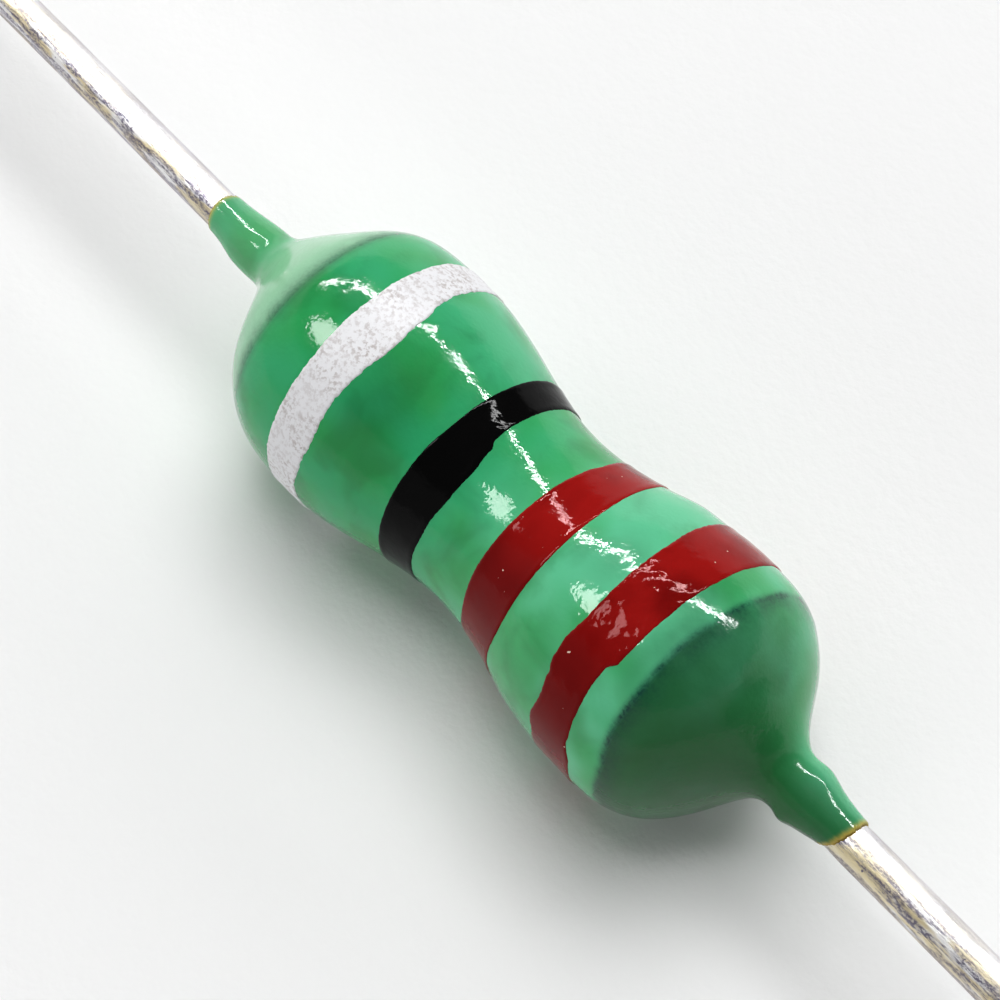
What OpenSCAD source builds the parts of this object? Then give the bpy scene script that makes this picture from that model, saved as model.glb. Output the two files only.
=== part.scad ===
// Axial inductor: a ferrite drum core wound with one layer of enamelled wire,
// with a tinned lead glued into each end and the wire's tails wrapped and
// soldered on the leads. The whole is dipped in epoxy, which runs out along
// the leads in two necks, and is ringed with four painted colour bands.
// The leads lie along X, and the band of the first digit is towards +X.

/* [Leads] */
// Diameter of each lead over its tinning
lead_d = 0.6; // [0.5:0.02:0.8]
// Thickness of the tinning on the copper
tin_t = 0.02; // [0.01:0.005:0.03]
// Length over which the tinning thins out under the coat
tin_feather = 0.7; // [0.6:0.05:1]
// Distance from the middle of the part to the cut end of each lead
lead_reach = 32; // [15:0.5:45]
// Depth that each lead goes into the core
lead_depth = 1.5; // [0.8:0.1:2.2]
// Chamfer on the cut end of each lead
lead_chamfer = 0.05; // [0.02:0.01:0.1]

/* [Ferrite core] */
// Overall length of the drum core
core_len = 7.6; // [6.5:0.1:9.5]
// Diameter of the core's two flanges
flange_d = 3.7; // [3.4:0.05:4.5]
// Thickness of each flange
flange_t = 1; // [0.8:0.05:1.2]
// Diameter of the post that carries the winding
post_d = 2.3; // [2:0.05:2.6]
// Chamfer on the edges of the flanges
flange_chamfer = 0.08; // [0.04:0.01:0.15]
// Width of the slot that lets the wire through each flange
slot_w = 0.34; // [0.3:0.02:0.5]
// Height of the slot's floor above the post
slot_floor = 0.05; // [0.03:0.01:0.15]

/* [Winding] */
// Diameter of the enamelled wire
wire_d = 0.17; // [0.12:0.01:0.19]
// Gap between neighbouring turns, and between the wire and what it lies on
turn_gap = 0.01; // [0.01:0.005:0.03]
// Turns that each tail makes round its lead
wrap_turns = 2; // [1:1:3]

/* [Glue and solder] */
// Thickness of the glue round each lead in the core
glue_t = 0.05; // [0.03:0.01:0.1]
// Glue left in the core's hole behind the end of each lead
glue_plug = 0.1; // [0.05:0.01:0.3]
// Thickness of the solder over the wrapped wire
solder_t = 0.09; // [0.05:0.01:0.12]
// Length of the solder's tail beyond the wrapped wire
solder_tail = 0.4; // [0.3:0.02:0.5]

/* [Epoxy coat] */
// Thickness of the coat over the flange at the digit end
digit_coat_t = 0.15; // [0.12:0.01:0.3]
// Thickness of the coat over the flange at the tolerance end
tolerance_coat_t = 0.19; // [0.12:0.01:0.3]
// Thickness of the coat over the winding at the waist
waist_coat_t = 0.16; // [0.1:0.01:0.3]
// Distance of the waist from the middle, towards the digit end
waist_x = 0.2; // [-0.5:0.05:0.5]
// Distance of the digit end's bulge inwards from the core's face
digit_bulge_inset = 0.7; // [0.5:0.05:1.2]
// Distance of the tolerance end's bulge inwards from the core's face
tolerance_bulge_inset = 1.2; // [0.5:0.05:1.2]
// Length of each dome, from the core's face to its neck
dome_len = 1.8; // [1.6:0.05:2.4]
// Fullness of the domes: a higher value keeps them round for longer
dome_fullness = 1.95; // [1.6:0.05:2.4]
// Thickness of the coat round the lead where a dome runs into its neck
neck_root_t = 0.15; // [0.12:0.01:0.25]
// Thickness of the coat round the lead where the neck ends
neck_tip_t = 0.03; // [0.02:0.01:0.06]
// Length of each neck, from the dome to the end of the coat
neck_len = 1.2; // [0.9:0.05:1.8]

/* [Colour bands] */
// Thickness of the painted bands
band_t = 0.03; // [0.02:0.01:0.05]
// Distance of the first digit's band inwards from the core's face
first_band_inset = 0.82; // [0.6:0.02:1]
// Distance from the first digit's band to the second digit's
first_to_second = 1.78; // [1.4:0.02:2]
// Distance from the second digit's band to the multiplier's
second_to_multiplier = 1.72; // [1.4:0.02:2]
// Distance from the multiplier's band to the tolerance's
multiplier_to_tolerance = 2.08; // [1.6:0.02:2.3]
// Width of the first digit's band
first_band_w = 0.78; // [0.5:0.02:1]
// Width of the second digit's band
second_band_w = 0.81; // [0.5:0.02:1]
// Width of the multiplier's band
multiplier_band_w = 0.66; // [0.5:0.02:1]
// Width of the tolerance's band
tolerance_band_w = 0.71; // [0.5:0.02:1]

/* [Hidden] */
$fn = 96;

COAT_GREEN = [0.18, 0.62, 0.42];
FERRITE_GREY = [0.24, 0.24, 0.26];
ENAMEL_COPPER = [0.72, 0.36, 0.16];
TINNED_SILVER = [0.82, 0.82, 0.83];
SOLDER_GREY = [0.66, 0.67, 0.69];
GLUE_AMBER = [0.78, 0.66, 0.38];
BAND_RED = [0.55, 0.06, 0.07];
BAND_BLACK = [0.05, 0.05, 0.06];
BAND_SILVER = [0.76, 0.75, 0.77];

// A digit-end piece is drawn at +X, and its twin is turned half round Z to -X
DIGIT_END = 0;
TOLERANCE_END = 180;

face_x = core_len / 2;
window_x = face_x - flange_t;
flange_r = flange_d / 2;
post_r = post_d / 2;

// Radii of the lead: over its tinning, and bare inside the part
lead_r = lead_d / 2;
bare_r = lead_r - tin_t;
hole_r = bare_r + glue_t;
lead_in_x = face_x - lead_depth;
hole_end_x = lead_in_x - glue_plug;

// The wire is swept with WIRE_SIDES flat sides and TURN_STEPS points a turn.
// The points stand out from a true circle, so that the chords between them
// clear what is inside.
WIRE_SIDES = 6;
TURN_STEPS = 16;
// A corner of the wire starts to bend BEND_REACH wire diameters before it
BEND_STEPS = 4;
BEND_REACH = 0.7;
chord_rise = cos(180 / TURN_STEPS);
wire_r = wire_d / 2;
wire_seat = wire_r + turn_gap;
turn_r = (post_r + wire_seat) / chord_rise;
wrap_r = (bare_r + wire_seat) / chord_rise;
slot_floor_r = post_r + slot_floor;
slot_r = slot_floor_r + wire_seat;
bend_reach = BEND_REACH * wire_d;

// The turns fill the window between the flanges
first_turn_x = window_x - wire_seat;
turns = floor(2 * first_turn_x / (wire_d + turn_gap));
turn_pitch = 2 * first_turn_x / turns;

// Each tail is wrapped round its lead from the core's face outwards. It leaves
// the wrap along a tangent that runs up the face to the flange's slot.
riser_x = face_x + wire_seat;
wrap_len = wrap_turns * (wire_d + turn_gap);
riser_tilt = asin(wrap_r / slot_r);
tangent_angle = riser_tilt - 90;

// Room that the coat and the solder leave round the wire
room = 2 * turn_gap;
// How far a cut runs past the face that it opens
overcut = wire_r;
window_room_r = max(turn_r, slot_r) + wire_r + room;
wrap_room_r = wrap_r + wire_r + room;
riser_end_x = riser_x + wire_r + room;
wrap_end_x = riser_end_x + wrap_len;

solder_r = wrap_room_r + solder_t;

// Places and radii of the coat, and the stretches that its outline is drawn in
NECK_STEPS = 6;
DOME_STEPS = 16;
FLANK_STEPS = 12;
digit_bulge_x = face_x - digit_bulge_inset;
tolerance_bulge_x = face_x - tolerance_bulge_inset;
dome_end_x = face_x + dome_len;
coat_end_x = dome_end_x + neck_len;
digit_bulge_r = flange_r + digit_coat_t;
tolerance_bulge_r = flange_r + tolerance_coat_t;
waist_r = window_room_r + waist_coat_t;
neck_root_r = lead_r + neck_root_t;
neck_tip_r = lead_r + neck_tip_t;
// Depth that the epoxy in a flange's slot reaches up into the coat
slot_key_grip = 0.04;

first_band_x = face_x - first_band_inset;
second_band_x = first_band_x - first_to_second;
multiplier_band_x = second_band_x - second_to_multiplier;
tolerance_band_x = multiplier_band_x - multiplier_to_tolerance;

// Eases from 0 to 1 as u goes from 0 to 1, level at both ends
function ease(u) =
    let (c = min(max(u, 0), 1))
    c * c * (3 - 2 * c);

// Radius of the neck at a distance from the middle: it thins out along the lead
function neck_r(x) =
    neck_root_r + (neck_tip_r - neck_root_r) * ease((x - dome_end_x) / neck_len);

// Radius of a dome at a distance from the middle, from its bulge to its neck
function dome_r(x, bulge_x, bulge_r) =
    let (along = min((x - bulge_x) / (dome_end_x - bulge_x), 1))
    bulge_r + (neck_r(x) - bulge_r) * ease(pow(along, dome_fullness));

// Radius of the coat between the waist and a bulge
function flank_r(x, bulge_x, bulge_r) =
    waist_r + (bulge_r - waist_r) * ease((x - waist_x) / (bulge_x - waist_x));

// Radius of the coat at any x, from one neck to the other
function coat_r(x) =
    x > digit_bulge_x ? dome_r(x, digit_bulge_x, digit_bulge_r)
    : x > waist_x ? flank_r(x, digit_bulge_x, digit_bulge_r)
    : x > -tolerance_bulge_x ? flank_r(x, -tolerance_bulge_x, tolerance_bulge_r)
    : dome_r(-x, tolerance_bulge_x, tolerance_bulge_r);

// The first n of the n + 1 even stations from one x to another
function stations(from, to, n) = [for (i = [0 : n - 1]) from + (to - from) * i / n];

coat_outline = [
    for (x = concat(
        stations(-coat_end_x, -dome_end_x, NECK_STEPS),
        stations(-dome_end_x, -tolerance_bulge_x, DOME_STEPS),
        stations(-tolerance_bulge_x, waist_x, FLANK_STEPS),
        stations(waist_x, digit_bulge_x, FLANK_STEPS),
        stations(digit_bulge_x, dome_end_x, DOME_STEPS),
        stations(dome_end_x, coat_end_x, NECK_STEPS),
        [coat_end_x]
    )) [x, coat_r(x)]
];

// Outside of the solder: a quarter ellipse from the wrap's end down to the lead
SOLDER_STEPS = 6;
solder_outline = [
    for (i = [0 : SOLDER_STEPS])
        let (a = 90 * i / SOLDER_STEPS)
            [wrap_end_x + solder_tail * sin(a), bare_r + (solder_r - bare_r) * cos(a)]
];

// What the digit half of the coat closes on, as [x, radius] from the lead inwards
coat_inside = concat(
    [[coat_end_x, lead_r], [coat_end_x - tin_feather, bare_r]],
    [for (i = [SOLDER_STEPS : -1 : 0]) solder_outline[i]],
    [
        [riser_end_x, solder_r],
        [riser_end_x, wrap_room_r],
        [face_x, wrap_room_r],
        [face_x, flange_r - flange_chamfer],
        [face_x - flange_chamfer, flange_r],
        [window_x, flange_r],
        [window_x, window_room_r]
    ]
);

function mirrored(outline) =
    [for (i = [len(outline) - 1 : -1 : 0]) [-outline[i][0], outline[i][1]]];

// A point at x, at a radius and at an angle from +Z
function spot(x, r, a) = [x, r * sin(a), r * cos(a)];

function unit(v) = v / norm(v);

// Points of a rounded corner at b, on the way from a to c
function bend(a, b, c) =
    let (start = b + bend_reach * unit(a - b), end = b + bend_reach * unit(c - b))
    [
        for (i = [0 : BEND_STEPS])
            let (u = i / BEND_STEPS)
            (1 - u) * (1 - u) * start + 2 * u * (1 - u) * b + u * u * end
    ];

// Points of the turns, from a number of steps in to the same number short of the end
function turn_points(skipped) = [
    for (i = [skipped : turns * TURN_STEPS - skipped])
        spot(first_turn_x - turn_pitch * i / TURN_STEPS, turn_r, 360 * i / TURN_STEPS)
];

// Points of the digit end's tail: round the lead, up the core's face and through the slot
function tail_points() =
    let (
        steps = wrap_turns * TURN_STEPS,
        wrap = [
            for (i = [steps : -1 : 0])
                spot(riser_x + wrap_len * i / steps, wrap_r, tangent_angle - 360 * i / TURN_STEPS)
        ],
        slot_top = spot(riser_x, slot_r, 0),
        slot_bottom = spot(first_turn_x, slot_r, 0)
    )
    concat(
        wrap,
        bend(wrap[steps], slot_top, slot_bottom),
        bend(slot_top, slot_bottom, turn_points(1)[0])
    );

// The same points turned half round Z and walked the other way
function turned_back(points) =
    [for (i = [len(points) - 1 : -1 : 0]) [-points[i][0], -points[i][1], points[i][2]]];

wire_path = concat(tail_points(), turn_points(1), turned_back(tail_points()));

function tangents(p) =
    let (last = len(p) - 1)
    [for (i = [0 : last]) unit(p[min(i + 1, last)] - p[max(i - 1, 0)])];

// One normal for each tangent, each turned from the last as little as it can be
function normals(t) = [
    for (
        i = 0, n = unit(cross(t[0], [1, 0, 0]));
        i < len(t);
        i = i + 1, n = i < len(t) ? unit(n - (n * t[i]) * t[i]) : n
    ) n
];

// A tube of a given radius and number of sides along a path, closed at both ends
module tube(path, r, sides) {
    t = tangents(path);
    n = normals(t);
    last = len(path) - 1;
    corners = [
        for (i = [0 : last], j = [0 : sides - 1])
            let (a = 360 * j / sides)
            path[i] + r * (cos(a) * n[i] + sin(a) * cross(t[i], n[i]))
    ];
    walls = [
        for (i = [0 : last - 1], j = [0 : sides - 1])
            let (here = i * sides, k = (j + 1) % sides)
            each [[here + j, here + k, here + sides + j], [here + k, here + sides + k, here + sides + j]]
    ];
    start = [[for (j = [sides - 1 : -1 : 0]) j]];
    end = [[for (j = [0 : sides - 1]) last * sides + j]];
    polyhedron(corners, concat(walls, start, end));
}

// A solid of revolution about X from an outline of [x, radius] points
module turned(outline) {
    rotate([0, 90, 0])
        rotate_extrude()
            polygon([for (p = outline) [p[1], p[0]]]);
}

// The slot through the digit end's flange, from one radius to another
module slot_block(from_r, to_r) {
    translate([window_x, -slot_w / 2, from_r])
        cube([flange_t, slot_w, to_r - from_r]);
}

// Room for the wire on the core's face, from the lead up to the slot
module riser_channel() {
    rotate([-riser_tilt, 0, 0])
        translate([face_x - overcut, -wrap_r - slot_w / 2, 0])
            cube([riser_end_x - face_x + overcut, slot_w, slot_r + wire_r + room]);
}

module at_end(end) {
    rotate([0, 0, end])
        children();
}

module ferrite_core() {
    half = [
        [hole_end_x, 0],
        [hole_end_x, hole_r],
        [face_x, hole_r],
        [face_x, flange_r - flange_chamfer],
        [face_x - flange_chamfer, flange_r],
        [window_x + flange_chamfer, flange_r],
        [window_x, flange_r - flange_chamfer],
        [window_x, post_r]
    ];
    color(FERRITE_GREY)
        difference() {
            turned(concat(half, mirrored(half)));
            for (end = [DIGIT_END, TOLERANCE_END])
                at_end(end) slot_cut();
        }
}

// The slot as it is cut: from its floor, out past the flange's rim and both faces
module slot_cut() {
    translate([window_x - overcut, -slot_w / 2, slot_floor_r])
        cube([flange_t + 2 * overcut, slot_w, flange_r]);
}

module copper_winding() {
    color(ENAMEL_COPPER)
        tube(wire_path, wire_r, WIRE_SIDES);
}

module lead(end) {
    color(TINNED_SILVER)
        at_end(end)
            turned([
                [lead_in_x, 0],
                [lead_in_x, bare_r],
                [coat_end_x - tin_feather, bare_r],
                [coat_end_x, lead_r],
                [lead_reach - lead_chamfer, lead_r],
                [lead_reach, lead_r - lead_chamfer],
                [lead_reach, 0]
            ]);
}

module glue(end) {
    color(GLUE_AMBER)
        at_end(end)
            turned([
                [hole_end_x, 0],
                [hole_end_x, hole_r],
                [face_x, hole_r],
                [face_x, bare_r],
                [lead_in_x, bare_r],
                [lead_in_x, 0]
            ]);
}

module solder(end) {
    color(SOLDER_GREY)
        at_end(end)
            turned(concat(
                [
                    [wrap_end_x, bare_r],
                    [wrap_end_x, wrap_room_r],
                    [riser_end_x, wrap_room_r],
                    [riser_end_x, solder_r]
                ],
                solder_outline
            ));
}

module epoxy_coat() {
    color(COAT_GREEN)
        union() {
            difference() {
                turned(concat(coat_outline, coat_inside, mirrored(coat_inside)));
                for (end = [DIGIT_END, TOLERANCE_END])
                    at_end(end) riser_channel();
            }
            for (end = [DIGIT_END, TOLERANCE_END])
                at_end(end) slot_block(slot_r + wire_r + room, flange_r + slot_key_grip);
        }
}

// A painted ring that follows the coat between two values of x
module band(middle_x, width, paint) {
    from_x = middle_x - width / 2;
    to_x = middle_x + width / 2;
    under = [
        [from_x, lookup(from_x, coat_outline)],
        for (p = coat_outline) if (p[0] > from_x && p[0] < to_x) p,
        [to_x, lookup(to_x, coat_outline)]
    ];
    over = [for (i = [len(under) - 1 : -1 : 0]) under[i] + [0, band_t]];
    color(paint)
        turned(concat(under, over));
}

ferrite_core();
copper_winding();
lead(DIGIT_END);  // digit_lead
lead(TOLERANCE_END);  // tolerance_lead
glue(DIGIT_END);  // digit_glue
glue(TOLERANCE_END);  // tolerance_glue
solder(DIGIT_END);  // digit_solder
solder(TOLERANCE_END);  // tolerance_solder
epoxy_coat();
band(first_band_x, first_band_w, BAND_RED);  // first_digit_band
band(second_band_x, second_band_w, BAND_RED);  // second_digit_band
band(multiplier_band_x, multiplier_band_w, BAND_BLACK);  // multiplier_band
band(tolerance_band_x, tolerance_band_w, BAND_SILVER);  // tolerance_band
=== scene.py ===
# %% [markdown]
# # Dressing an axial inductor
#
# The part is a coil on a ferrite drum, dipped in green epoxy, with a tinned wire
# out of each end and four painted rings that spell its value. The solids already
# have the right size and place, but they are perfectly round and flat in colour.
# A real one is not: the epoxy crept along the wires and set with swells and pits,
# the rings were rolled on with wandering edges, and the tin on the wires is
# streaked from the die that drew it.
#
# This lesson makes those surfaces as arrays of points, from formulas, and then
# mixes their finishes from shader maths that is written like ordinary Python.

import bpy
import numpy as np
from mathutils import Matrix, Vector


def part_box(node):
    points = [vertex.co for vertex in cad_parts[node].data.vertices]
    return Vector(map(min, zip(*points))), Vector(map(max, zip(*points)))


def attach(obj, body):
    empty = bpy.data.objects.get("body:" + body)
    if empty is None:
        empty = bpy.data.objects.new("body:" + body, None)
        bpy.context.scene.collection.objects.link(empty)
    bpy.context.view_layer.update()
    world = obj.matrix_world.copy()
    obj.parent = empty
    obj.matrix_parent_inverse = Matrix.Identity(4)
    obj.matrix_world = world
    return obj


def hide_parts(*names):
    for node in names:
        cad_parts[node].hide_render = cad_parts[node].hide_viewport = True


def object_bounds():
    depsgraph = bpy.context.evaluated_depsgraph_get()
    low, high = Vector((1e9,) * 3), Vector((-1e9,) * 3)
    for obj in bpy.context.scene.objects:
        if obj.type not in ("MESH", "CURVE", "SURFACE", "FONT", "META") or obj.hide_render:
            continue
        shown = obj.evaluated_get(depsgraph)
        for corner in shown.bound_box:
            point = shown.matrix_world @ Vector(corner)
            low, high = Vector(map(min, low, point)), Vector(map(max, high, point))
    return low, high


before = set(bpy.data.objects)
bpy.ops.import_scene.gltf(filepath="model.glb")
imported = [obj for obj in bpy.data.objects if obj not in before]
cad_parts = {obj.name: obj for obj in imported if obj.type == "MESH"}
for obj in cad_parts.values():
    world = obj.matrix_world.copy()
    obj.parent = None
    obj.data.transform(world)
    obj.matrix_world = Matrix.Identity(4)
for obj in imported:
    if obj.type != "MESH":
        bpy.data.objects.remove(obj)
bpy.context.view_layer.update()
MM = 0.001

# %% [markdown]
# ## The camera
#
# The whole picture is 14 mm wide, so this is a close-up through a long lens from
# a hand's breadth away. The nearer end of the body then looks larger than
# the far end. The clipping distance has to be shorter than that hand's breadth.
# The camera is set by where it stands and by the directions of its right and its
# up edge, because those three are what a fit to the body's outline gives.

# %% Camera
CAMERA_SPOT = Vector((14.194, -12.416, 31.579)) * MM
CAMERA_RIGHT = Vector((0.6487, 0.7610, 0.0)).normalized()
CAMERA_UP = Vector((-0.6524, 0.5561, 0.5149))
PICTURE_PX = 1000
FOCAL_PX = 2620
SENSOR_MM = 36

camera = bpy.data.objects.new("camera", bpy.data.cameras.new("camera"))
bpy.context.scene.collection.objects.link(camera)
bpy.context.scene.camera = camera
back = CAMERA_RIGHT.cross(CAMERA_UP).normalized()
up = back.cross(CAMERA_RIGHT)
turn = Matrix((CAMERA_RIGHT, up, back)).transposed().to_4x4()
camera.matrix_world = Matrix.Translation(CAMERA_SPOT) @ turn
camera.data.sensor_width = SENSOR_MM
camera.data.lens = FOCAL_PX / PICTURE_PX * SENSOR_MM
camera.data.clip_start = 2 * MM
camera.data.clip_end = 20
print("the lens is", round(camera.data.lens, 1), "mm")

# %% [markdown]
# ## Outlines read from the solids
#
# The coat, the bands and the wires are all turned about the X axis, so the shape of
# each is a radius at each x. The solids know that radius: in a thin slice of x, the
# point farthest from the axis lies on the outside. Reading the outline there, and
# not typing it again, keeps the dressed surfaces on the solids if a size changes.
# The coat's points are joined by a line that is then softened, because dipped epoxy
# has no facets.

# %% Outline of a turned solid
SLICE = 0.05 * MM
POINTS_ON_EDGE = 13
OUTLINE_STEP = 0.01 * MM
SOFTENED_OVER = 0.05 * MM


def outline_of(node):
    """x and radius of a turned node's outside: points along all its edges are sorted
    into thin slices of x, and each slice keeps its point farthest from the axis."""
    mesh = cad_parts[node].data
    corners = np.empty(len(mesh.vertices) * 3, np.float32)
    mesh.vertices.foreach_get("co", corners)
    corners = corners.reshape(-1, 3).astype(float)
    ends = np.empty(len(mesh.edges) * 2, np.int32)
    mesh.edges.foreach_get("vertices", ends)
    start, end = corners[ends.reshape(-1, 2)].transpose(1, 0, 2)
    along = np.linspace(0, 1, POINTS_ON_EDGE)[:, None, None]
    points = (start + (end - start) * along).reshape(-1, 3)
    radius = np.hypot(points[:, 1], points[:, 2])
    slices = np.floor(points[:, 0] / SLICE)
    order = np.lexsort((radius, slices))
    farthest = order[np.append(np.diff(slices[order]) > 0, True)]
    return points[farthest, 0], radius[farthest]


def softened(x, radius, reach):
    """The outline on an even fine grid, averaged over a bell-shaped window of about
    twice the reach, with the ends held."""
    even = np.arange(x[0], x[-1] + OUTLINE_STEP, OUTLINE_STEP)
    steps = int(3 * reach / OUTLINE_STEP)
    offset = np.arange(-steps, steps + 1) * OUTLINE_STEP
    bell = np.exp(-0.5 * (offset / reach) ** 2)
    padded = np.interp(even, x, radius)
    padded = np.pad(padded, steps, mode="edge")
    return even, np.convolve(padded, bell / bell.sum(), mode="valid")


coat_x, coat_outline = softened(*outline_of("epoxy_coat"), reach=SOFTENED_OVER)
COAT_END = coat_x[-1]
BODY_R = coat_outline.max()
LEAD_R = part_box("digit_lead")[1].z
FACE_X, CORE_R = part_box("ferrite_core")[1].x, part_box("ferrite_core")[1].z
print("the coat ends at", round(COAT_END / MM, 2), "mm and is", round(BODY_R / MM, 2), "mm in radius")

# %% [markdown]
# ## Swells
#
# Epoxy sets with long, low swells that bend every reflection a little. A few
# waves of random direction, added together, give such swells: each wave runs
# along x and a whole number of times round the axis, so that the surface closes
# on itself. A seed fixes the waves, so that the part comes out the same each time.

# %% Waves
SHORTEST_SHARE = 6
LONG_WEIGH_MORE = 0.7
HIGHEST_SUM = 2.2


def swell(x, angle, seed, longest, waves=24):
    """Sum of cosines with random phase. Each runs along x with a wavelength from
    the longest down to a sixth of it, and a whole number of times round the axis.
    The sum is about 1 high at most."""
    rng = np.random.default_rng(seed)
    wavelength = longest / rng.uniform(1, SHORTEST_SHARE, waves)
    around = np.round(rng.uniform(-1, 1, waves) * 2 * np.pi * BODY_R / wavelength)
    phase = rng.uniform(0, 2 * np.pi, waves)
    weight = (wavelength / longest) ** LONG_WEIGH_MORE
    total = np.zeros(np.broadcast(x, angle).shape)
    for k in range(waves):
        total += weight[k] * np.cos(2 * np.pi * x / wavelength[k] + around[k] * angle + phase[k])
    return total / np.sqrt((weight**2).sum()) / HIGHEST_SUM


# %% [markdown]
# ## Steps and bumps
#
# Two more formulas place a change where it belongs: a smooth step from 0 to 1, and
# a bell-shaped bump on the surface. Both are level at their ends, so that no crease
# shows where they start. Their places and lengths are in millimetres, and their
# angles in degrees from straight up towards +Y.

# %% Steps and bumps


def ease(t):
    """0 before 0, 1 after 1, and between them 3 t squared less 2 t cubed."""
    t = np.clip(t, 0, 1)
    return t * t * (3 - 2 * t)


def ramp(x, start, over):
    """Eased from 0 to 1 from a start, over a length."""
    return ease((x - start * MM) / (over * MM))


def bump(x, angle, at_x, at_deg, long, wide_deg):
    """1 at its middle, and e to the minus sum of two squares round it: the distance
    over the half-length, and the turn over the half-width."""
    turn = (np.degrees(angle) - at_deg + 180) % 360 - 180
    return np.exp(-(((x - at_x * MM) / (long * MM)) ** 2) - (turn / wide_deg) ** 2)


def bumps(rows, x, angle):
    """The sum of a table's bumps, each times the last number of its row."""
    return sum(height * bump(x, angle, *shape) for *shape, height in rows)


# %% [markdown]
# ## The skin
#
# The skin follows the outline, with four departures of a dipped piece. It hangs a
# little to one side of the wires, it is lumpy, it is crumpled where it was touched
# before it set, and its ends are ragged where the epoxy crept. All of it is one
# function of x and of the angle round the axis, so that the painted rings can lie
# on the same function and never sink or float. Sculpting could shape it too, but
# then the rings would need to be fitted to it again after each change.

# %% Lumps and crumples
# Each row: x, angle, half-width along x, half-width in degrees, height
LUMPS = [
    (-2.9, -111, 1.5, 80, 0.028),
    (-3.9, 69, 0.5, 60, 0.035),
    (-5.1, -111, 0.4, 60, -0.16),
    (-5.1, 69, 0.35, 60, 0.08),
    (-6.1, -100, 0.25, 40, 0.02),
    (0.2, -111, 1.0, 70, 0.025),
    (2.0, -111, 0.6, 80, 0.05),
    (2.0, 69, 0.4, 60, 0.045),
    (5.1, 69, 0.32, 60, -0.095),
    (5.2, -111, 0.3, 60, -0.12),
    (5.85, 62, 0.24, 42, 0.045),
    (5.8, -112, 0.12, 30, 0.04),
    (6.4, -112, 0.3, 40, -0.035),
    (5.55, -30, 0.16, 25, 0.025),
    (5.95, 22, 0.18, 16, 0.02),
    (-0.45, 2, 0.10, 6, 0.012),
    (-0.33, -9, 0.12, 5, -0.012),
    (-0.25, -15, 0.10, 4, 0.010),
    (-2.08, 12, 0.08, 5, 0.012),
    (-2.08, -14, 0.08, 6, 0.012),
    (2.95, 3, 0.16, 5, 0.008),
    (3.1, -12, 0.10, 5, -0.010),
    (2.7, -6, 0.10, 4, 0.008),
    (0.92, -15, 0.06, 4, -0.012),
]
CRUMPLES = [
    (2.95, -8, 0.45, 22, 0.026),
    (-0.45, -4, 0.35, 14, 0.008),
    (-2.3, 5, 0.35, 14, 0.006),
    (-3.3, -5, 0.3, 14, 0.005),
]
print("the skin has", len(LUMPS), "lumps and", len(CRUMPLES), "crumples")

# %% Skin function
SWELL_H = 0.004 * MM
SWELL_LONG = 3.2 * MM
SWELL_FADES_OVER = 1.2 * MM
CREASE_LONG = 0.5 * MM
SAG = np.array((0.0, -0.092, -0.037)) * MM
SAG_FADES = (4.3 * MM, 5.3 * MM)
LEAST_COAT = 0.02 * MM
# Where the skin is held off the core: start and length of the step at each end, in mm from x 0
HELD_FROM, HELD_UNTIL = (1.8, 1.0), (4.2, 1.2)
HELD_SOFTLY = 0.02 * MM


def skin_radius(x, angle):
    """Radius at x and an angle: the softened outline, plus swells, lumps and crumples."""
    radius = np.interp(x, coat_x, coat_outline)
    fading = ease((COAT_END - np.abs(x)) / SWELL_FADES_OVER)
    swelling = SWELL_H * fading * swell(x, angle, 11, SWELL_LONG)
    creases = swell(x, angle, 13, CREASE_LONG) * bumps(CRUMPLES, x, angle)
    return radius + swelling + MM * (bumps(LUMPS, x, angle) + creases)


def skin_point(x, angle, lift=0.0):
    """A point of the skin, raised by lift: the radius along (0, sin, cos) of the
    angle, shifted by the sag, which fades out towards the necks. Over the core the
    distance from the axis is kept above the core's radius by a soft maximum: half
    the sum of both distances, plus half of the rounded size of their difference."""
    hang = ease((SAG_FADES[1] - np.abs(x)) / (SAG_FADES[1] - SAG_FADES[0]))
    radius = skin_radius(x, angle)
    y = radius * np.sin(angle) + SAG[1] * hang
    z = radius * np.cos(angle) + SAG[2] * hang
    outline = np.interp(x, coat_x, coat_outline)
    spare = np.interp(FACE_X, coat_x, coat_outline) - CORE_R - LEAST_COAT
    held = ramp(np.abs(x), *HELD_FROM) * (1 - ramp(np.abs(x), *HELD_UNTIL))
    over_core = (outline - spare) * held
    away = np.hypot(y, z)
    kept = 0.5 * (away + over_core + np.hypot(away - over_core, HELD_SOFTLY))
    grown = (kept + lift) / away
    return np.stack(np.broadcast_arrays(x, y * grown, z * grown), axis=-1)


# %% [markdown]
# ## From a grid to a mesh
#
# Each surface is a grid of points: rows along the piece, columns round it. Joining
# each point to its neighbours gives four-sided faces, with no loop over points.
# A grid that closes both ways is a ring like a doughnut, which is what a skin
# with an inner wall is, and so is a painted ring.

# %% Grid to mesh


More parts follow.
